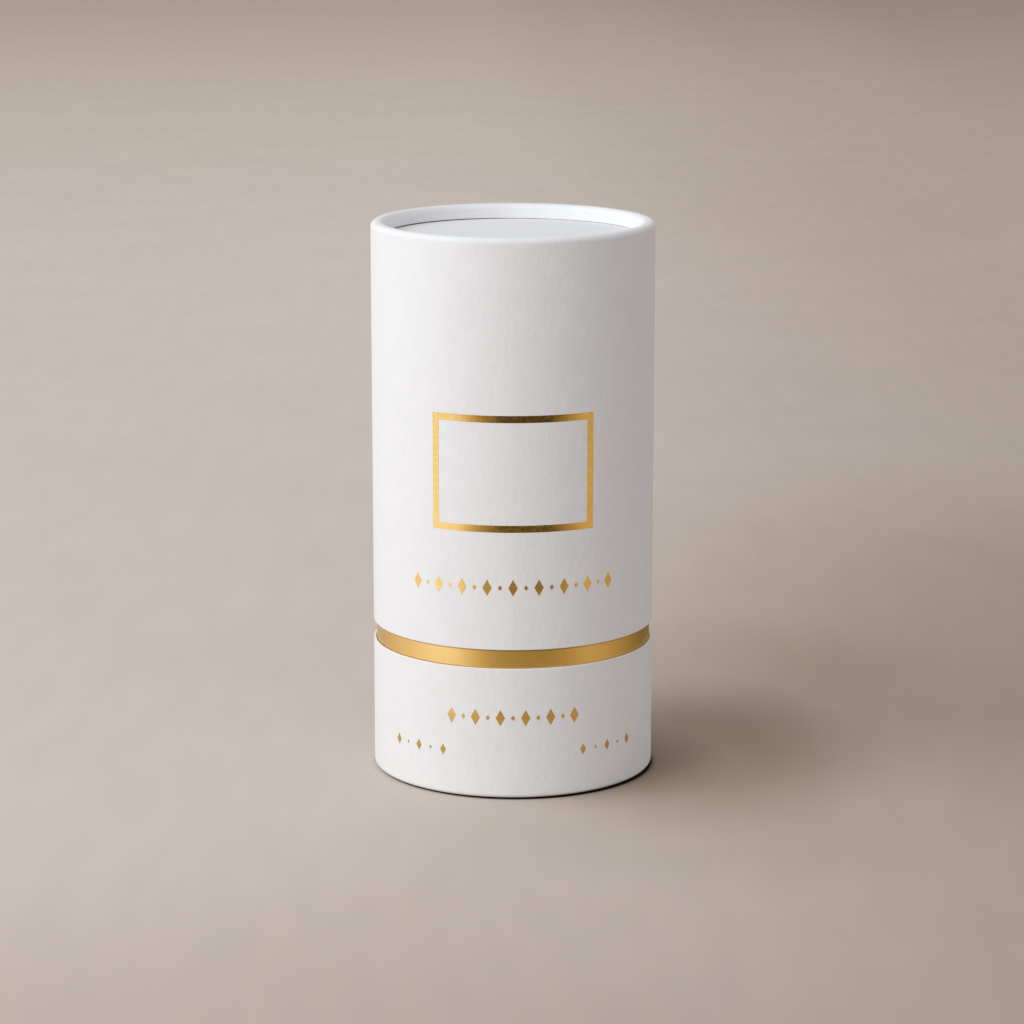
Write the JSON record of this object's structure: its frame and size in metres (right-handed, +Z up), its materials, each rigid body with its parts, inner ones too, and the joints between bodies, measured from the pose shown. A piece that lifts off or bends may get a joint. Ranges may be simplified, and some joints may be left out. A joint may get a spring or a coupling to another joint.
{
  "type": "gift tube box",
  "caption": "Cylindrical gift tube box: a short base with a gold-papered neck and a long lid with a rolled rim that slides off upwards, for a bottle that stands upright inside.",
  "frame": {"origin": "centre of the foot, on the surface that the tube stands on", "axes": "+Z up along the tube's axis, with the framed front of the lid facing -Y and the wrap's lap at the back on +Y"},
  "size_m": [0.086, 0.0862, 0.1693],
  "materials": {
    "white_wrap": "matte",
    "lining_paper": "matte",
    "grey_board": "matte",
    "white_card": "matte",
    "gold_paper": "satin",
    "gold_foil": "gloss"
  },
  "bodies": {
    "base": {"base_tube": "grey_board", "base_wrap": "white_wrap", "base_bottom_disc": "grey_board", "base_foot_disc": "grey_board", "base_foot_paper": "white_wrap", "base_foil_rows": "gold_foil", "neck_tube": "grey_board", "neck_gold_wrap": "gold_paper", "neck_liner": "lining_paper", "floor_card": "white_card", "bottle_riser": "white_card", "bottle_ring": "white_card"},
    "lid": {"lid_tube": "grey_board", "lid_wrap": "white_wrap", "lid_liner": "lining_paper", "lid_ceiling_disc": "grey_board", "lid_ceiling_paper": "lining_paper", "lid_top_disc": "grey_board", "lid_top_paper": "white_wrap", "lid_foil_frame": "gold_foil", "lid_foil_row": "gold_foil"}
  },
  "joints": [
    {"name": "lid_lift", "type": "slide", "parent": "base", "child": "lid", "axis": [0, 0, 1], "range_m": [0, 0.15]}
  ]
}
